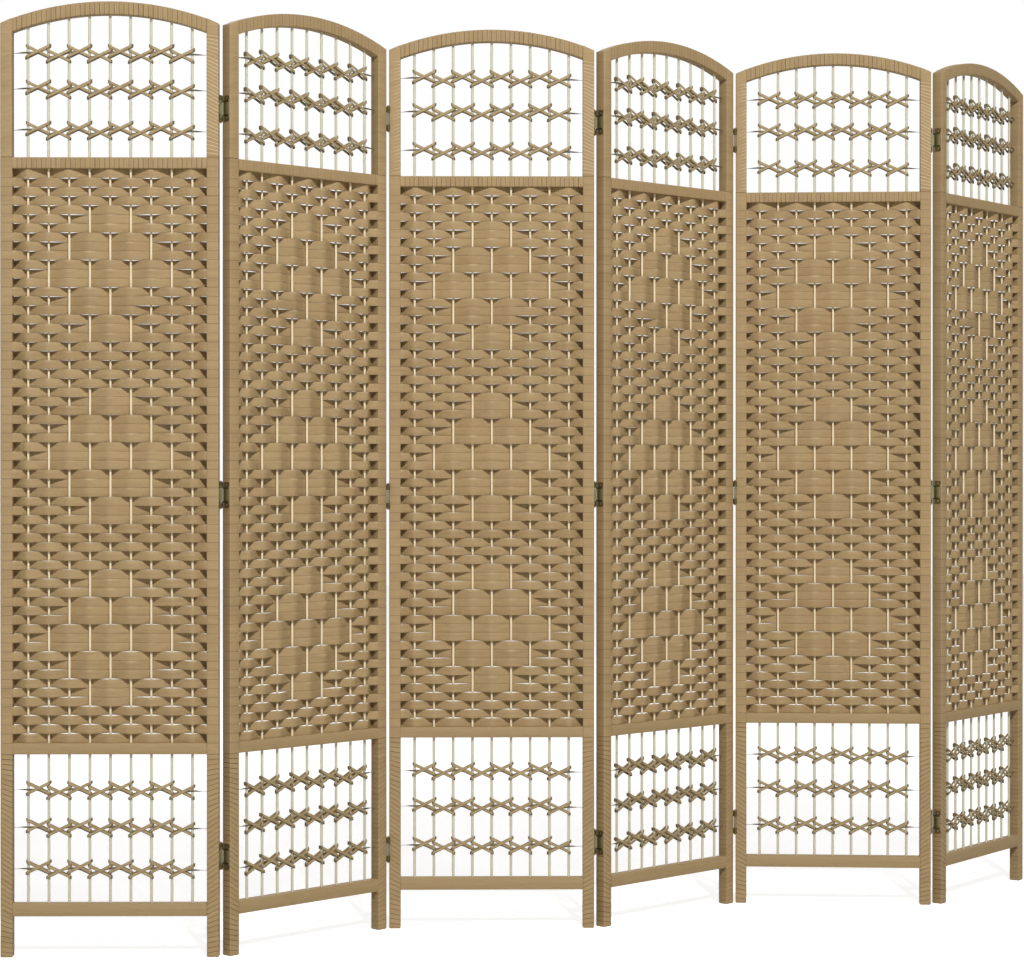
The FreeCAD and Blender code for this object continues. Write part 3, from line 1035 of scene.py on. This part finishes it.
def leaf_marks(share, z, in_dome):
    # How far a leaf's face rises, how dark it is with painted shade across the dome and beside
    # the knuckles, and how strong its painted highlight is, at a share of the way from its far
    # edge to the pin
    rise = 0.0
    shine = 0.0
    groove = 0.0
    if in_dome:
        rise = DOME * math.sin(math.pi * min(1.0, share * 1.25))
        # A painted highlight towards the dome's far edge and a band of painted shade across its
        # middle
        shine = 0.3 * max(0.0, 1 - share / 0.45)
        groove = 0.45 * max(0.0, 1 - abs(share - 0.56) / 0.2)
    # A painted highlight on the near strip where the leaf curls into its knuckle
    if share > 0.72:
        shine = 0.9 if in_dome else 0.3
        groove = 0.0
    # Painted shade in the crease beside the knuckle
    if share > 0.95:
        groove = 0.9
    if (not in_dome and share == 0.0) or abs(z) in (11.2, 12.6):
        groove = 0.8
    return rise, groove, shine


def leaf_plate(weaver, side, inward, middle, pinned):
    # A plate on the panel's edge with a low dome between its screws. Its near edge
    # reaches the pin beside its own knuckles and stays clear of the other leaf's.
    outer = side * JOINT_GAP / 2
    face = outer - side * LEAF_THICK
    stations = [(-z, short) for z, short in reversed(LEAF_EDGE)] + LEAF_EDGE[1:]
    own_low, own_high = (11.6, 23.0) if pinned else (0.0, 11.0)
    rings = []
    for z, short in stations:
        own = own_low <= abs(z) <= own_high
        near = NEAR_OWN if own else NEAR_OTHER
        far = PIN_OFFSET + LEAF_DEPTH - short
        in_dome = abs(z) < DOME_HALF
        points = [(outer, inward * near, middle + z), (outer, inward * far, middle + z)]
        grooves = [0.3, 0.3]
        shines = [0.0, 0.0]
        for i in range(13):
            share = i / 12
            rise, groove, shine = leaf_marks(share, z, in_dome)
            away = far + (near - far) * share
            points.append((face - side * rise, inward * away, middle + z))
            grooves.append(groove)
            shines.append(shine)
        rings.append(weaver.ring(
            points, groove=grooves, shine=shines, tint=1.0 if in_dome else 0.2,
        ))
    weaver.loft(rings)
    for z in (-SCREW_HEIGHT, SCREW_HEIGHT):
        screw(weaver, face, side, inward * (PIN_OFFSET + LEAF_DEPTH - SCREW_INSET), middle + z)


def hinge_mesh(name, joint, side, inward, pinned):
    # side is the panel's side of the pin, inward is from the pin to the panel's body
    weaver = Weaver()
    from_floor, from_top = HINGE_PLACES[joint]
    low = from_floor
    high = HEIGHT - from_top
    half = HINGE_HEIGHT / 2
    for middle in (low, low + (high - low) * MIDDLE_HINGE, high):
        leaf_plate(weaver, side, inward, middle, pinned)
        if pinned:
            knuckle_highlight = RIDGE_HIGHLIGHT if joint % 2 == 0 else VALLEY_HIGHLIGHT
            for low_end, shines in (
                (middle - half, (0.0, 0.0, knuckle_highlight)),
                (middle + half - END_KNUCKLE, (knuckle_highlight, 0.0, 0.0)),
            ):
                knuckle(weaver, low_end, low_end + END_KNUCKLE, OUTER_KNUCKLE, shines, 0.5)
            for end, way in ((middle - half, -1), (middle + half, 1)):
                tip = [(radius, end + way * out, shine) for radius, out, shine in PIN_TIP]
                turned_piece(weaver, tip, tint=1.0)
        else:
            knuckle(
                weaver, middle - MIDDLE_KNUCKLE / 2, middle + MIDDLE_KNUCKLE / 2, KNUCKLE,
                (0.2, 0.26, 0.2), 0.15,
            )
    return weaver.mesh(name)


# Build every panel

# How strong the painted highlight on the posts' upper lines is
PALE_LINE_HIGHLIGHT = 0.9
meshes = {}


def shared(kind, index, mirrored, build):
    # A mesh that panels of the same hand share, or the panel's own where its marks differ
    key = kind + ("_mirrored" if mirrored else "_plain")
    if (kind in ("arch", "upper_rail") and mirrored) or (kind == "left_post" and index == 0):
        key = f"{kind}_{index + 1}"
    if key not in meshes:
        meshes[key] = build(key)
    return meshes[key]


for index, ordinal in enumerate(PANELS):
    mirrored = index % 2 == 1
    body = ordinal + "_panel"
    matrix = panel_matrix(index)
    pale = 0.0 if mirrored else PALE_LINE_HIGHLIGHT
    pale_left = 0.0 if index == 0 else pale
    arch_marks = ARCH_MARKS[index]
    rail_marks = UPPER_RAIL_MARKS[index]
    pieces = [
        (
            "left_post", lambda key: post_mesh(key, True, mirrored, pale_left),
            wrap_material, ["left_post"], "frame",
        ),
        (
            "right_post", lambda key: post_mesh(key, False, mirrored, pale),
            wrap_material, ["right_post"], "frame",
        ),
        (
            "arch", lambda key: wrapped_rail_mesh(key, arch_edges, True, ARCH_SEED, arch_marks),
            arch_material, ["arched_rail"], "frame",
        ),
        (
            "upper_rail",
            lambda key: wrapped_rail_mesh(
                key, high_rail_edges, False, UPPER_RAIL_SEED, rail_marks,
            ),
            arch_material, ["cross_rails"], "frame",
        ),
        ("lower_rails", plain_rails_mesh, rail_material, ["cross_rails"], "rail"),
        ("cane_rods", rods_mesh, cane_material, ["rods"], "rod"),
        (
            "woven_bands", lambda key: woven_mesh(key, mirrored),
            band_material, ["woven_infill"], "weave",
        ),
        (
            "upper_loops", lambda key: lattice_mesh(key, HIGH_ROWS, mirrored),
            slat_material, ["upper_lattice"], "slat",
        ),
        (
            "lower_loops", lambda key: lattice_mesh(key, LOW_ROWS, mirrored),
            slat_material, ["lower_lattice"], "slat",
        ),
        (
            "upper_ties", lambda key: ties_mesh(key, HIGH_ROWS, mirrored),
            tie_material, [], "slat",
        ),
        (
            "lower_ties", lambda key: ties_mesh(key, LOW_ROWS, mirrored),
            tie_material, [], "slat",
        ),
    ]
    for kind, build, material, nodes, record_slot in pieces:
        mesh = shared(kind, index, mirrored, build)
        put(
            f"{ordinal}_{kind}", mesh, material, body, matrix,
            [f"{ordinal}_panel_{node}" for node in nodes],
        )

for index, ordinal in enumerate(JOINTS):
    ridge = index % 2 == 0
    inward = -1 if ridge else 1
    x = WIDTH + JOINT_GAP / 2
    y = DEPTH + PIN_OFFSET if ridge else -PIN_OFFSET
    pin = panel_matrix(index) @ Vector((x * MM, y * MM, 0))
    for side, kind, owner in ((-1, "pinned", index), (1, "bored", index + 1)):
        turn = Matrix.Rotation(math.radians(PANEL_PLACES[owner][2]), 4, "Z")
        mesh = hinge_mesh(f"{ordinal}_{kind}_leaves", index, side, inward, kind == "pinned")
        put(
            f"{ordinal}_{kind}_hinge_leaves", mesh, bronze, PANELS[owner] + "_panel",
            Matrix.Translation(pin) @ turn, [f"{ordinal}_joint_{kind}_leaves"],
        )


# Floor, light and camera

CAMERA_AT = (-2.17037, -4.53252, 0.86258)
CAMERA_YAW = -0.42208
CAMERA_PITCH = -0.00288
CAMERA_LENS = 92.15

camera_data = bpy.data.cameras.new("camera")
camera_data.lens = CAMERA_LENS
camera_data.sensor_width = 36
camera_data.clip_end = 60
camera = bpy.data.objects.new("camera", camera_data)
camera.location = CAMERA_AT
camera.rotation_euler = (math.pi / 2 + CAMERA_PITCH, 0, CAMERA_YAW)
bpy.context.scene.collection.objects.link(camera)
bpy.context.scene.camera = camera


FLOOR_GLOW = 0.78
FLOOR_REACH = 14.0
ROOM_LIGHT = 0.07


def seen_rays(tree):
    # 1 for the rays of the camera and of mirrors, 0 for those that light the object
    path = tree.nodes.new("ShaderNodeLightPath")
    both = tree.nodes.new("ShaderNodeMath")
    both.operation = "MAXIMUM"
    tree.links.new(path.outputs["Is Camera Ray"], both.inputs[0])
    tree.links.new(path.outputs["Is Glossy Ray"], both.inputs[1])
    return both.outputs["Value"]


def seen_white(tree, surface, strength):
    # Adds a white glow that only the camera and mirror rays see
    level = tree.nodes.new("ShaderNodeMath")
    level.operation = "MULTIPLY"
    level.inputs[1].default_value = strength
    tree.links.new(seen_rays(tree), level.inputs[0])
    glow = tree.nodes.new("ShaderNodeEmission")
    tree.links.new(level.outputs["Value"], glow.inputs["Strength"])
    joined = tree.nodes.new("ShaderNodeAddShader")
    tree.links.new(surface, joined.inputs[0])
    tree.links.new(glow.outputs["Emission"], joined.inputs[1])
    return joined.outputs["Shader"]


floor_material = bpy.data.materials.new("pale_floor")
floor_material.use_nodes = True
floor_nodes = floor_material.node_tree
floor_surface = floor_nodes.nodes["Principled BSDF"]
floor_surface.inputs["Base Color"].default_value = (0.8, 0.77, 0.73, 1)
floor_surface.inputs["Roughness"].default_value = 0.9
floor_surface.inputs["Specular IOR Level"].default_value = 0.1
floor_nodes.links.new(
    seen_white(floor_nodes, floor_surface.outputs["BSDF"], FLOOR_GLOW),
    floor_nodes.nodes["Material Output"].inputs["Surface"],
)
floor_mesh = bpy.data.meshes.new("floor")
floor_corners = [
    (x * FLOOR_REACH, y * FLOOR_REACH, 0) for x, y in ((-1, -1), (1, -1), (1, 1), (-1, 1))
]
floor_mesh.from_pydata(floor_corners, [], [(0, 1, 2, 3)])
floor_mesh.materials.append(floor_material)
floor = bpy.data.objects.new("floor", floor_mesh)
bpy.context.scene.collection.objects.link(floor)

world = bpy.data.worlds.new("studio")
bpy.context.scene.world = world
world.use_nodes = True
sky = world.node_tree
background = sky.nodes["Background"]
level = sky.nodes.new("ShaderNodeMapRange")
level.inputs["To Min"].default_value = ROOM_LIGHT
level.inputs["To Max"].default_value = 1.0
sky.links.new(seen_rays(sky), level.inputs["Value"])
sky.links.new(level.outputs["Result"], background.inputs["Strength"])
background.inputs["Color"].default_value = (1, 1, 1, 1)


def lamp(name, bearing, elevation, distance, size, power):
    # A square lamp aimed at the screen's middle. Its bearing is measured from the camera's
    # own line, so 180 is behind the screen.
    aim = Vector((0, 0, 0.85))
    angle = CAMERA_YAW + math.radians(bearing)
    flat = math.cos(math.radians(elevation))
    away = Vector((
        math.sin(angle) * flat, -math.cos(angle) * flat, math.sin(math.radians(elevation)),
    ))
    data = bpy.data.lights.new(name, "AREA")
    data.shape = "SQUARE"
    data.size = size
    data.energy = power
    light = bpy.data.objects.new(name, data)
    light.location = aim + away * distance
    light.rotation_euler = away.to_track_quat("Z", "Y").to_euler()
    bpy.context.scene.collection.objects.link(light)


lamp("key", bearing=10, elevation=38, distance=9.0, size=0.7, power=608)
lamp("fill", bearing=-35, elevation=12, distance=6.0, size=4.0, power=12)
lamp("back", bearing=190, elevation=32, distance=8.0, size=2.5, power=90)

bpy.context.scene.view_settings.view_transform = "Standard"
